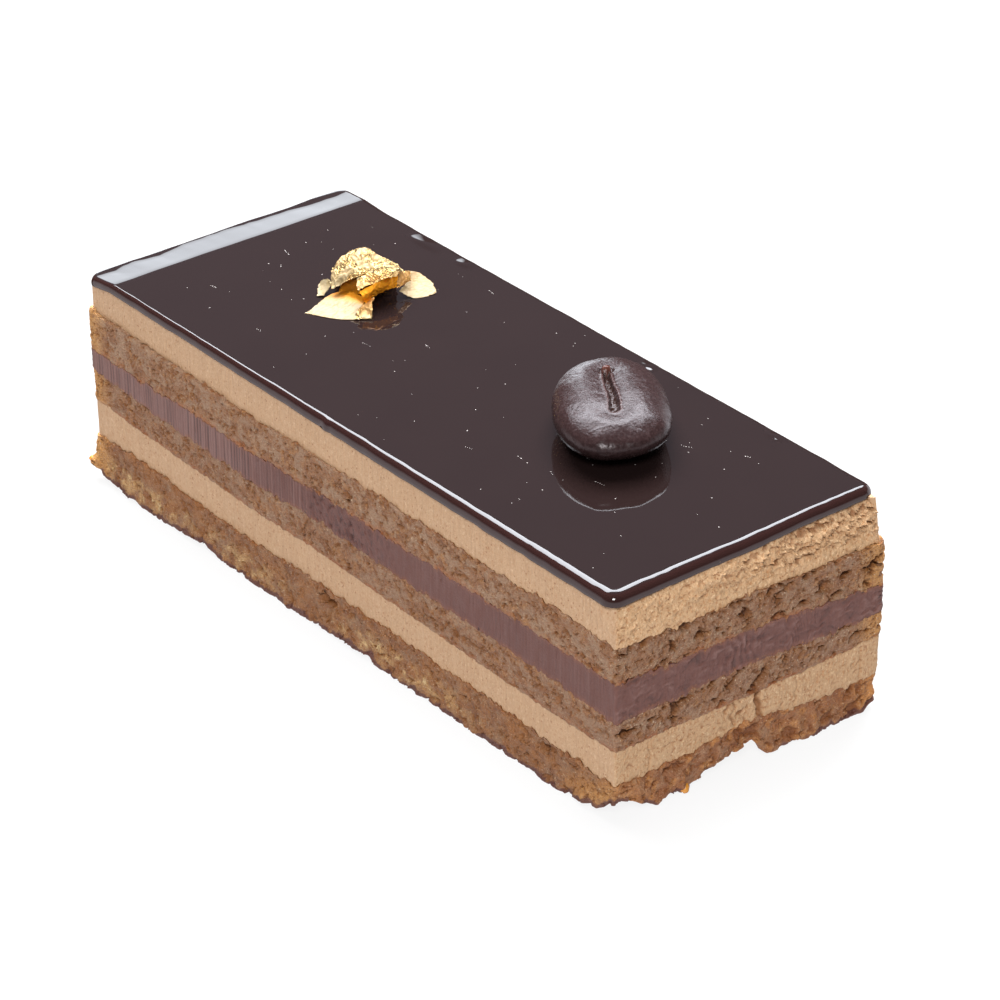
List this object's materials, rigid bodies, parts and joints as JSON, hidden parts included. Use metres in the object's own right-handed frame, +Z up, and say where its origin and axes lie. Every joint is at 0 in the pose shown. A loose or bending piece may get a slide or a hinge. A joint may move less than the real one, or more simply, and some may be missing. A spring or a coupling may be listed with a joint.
{
  "type": "opera cake",
  "caption": "Finger-shaped portion of layered coffee and chocolate cake with a dark glossy glaze, a chocolate coffee bean and a crumpled piece of gold leaf on top.",
  "frame": {"origin": "centre of the flat underside", "axes": "+X along the portion's length, with the coffee bean in the +X half and the gold leaf in the -X half; +Y across its width; +Z up"},
  "size_m": [0.106, 0.041, 0.0373],
  "materials": {
    "sponge": "open, moist crumb, matt",
    "buttercream": "smooth cut cream, soft sheen",
    "ganache": "smeared by the knife, satin",
    "glaze": "mirror gloss",
    "chocolate": "fine mottled satin",
    "gold": "crumpled bright foil"
  },
  "bodies": {
    "root": {"sponge_base": "sponge", "buttercream_lower": "buttercream", "sponge_middle": "sponge", "ganache": "ganache", "sponge_upper": "sponge", "buttercream_upper": "buttercream", "glaze": "glaze", "coffee_bean": "chocolate", "gold_leaf": "gold"}
  },
  "joints": []
}
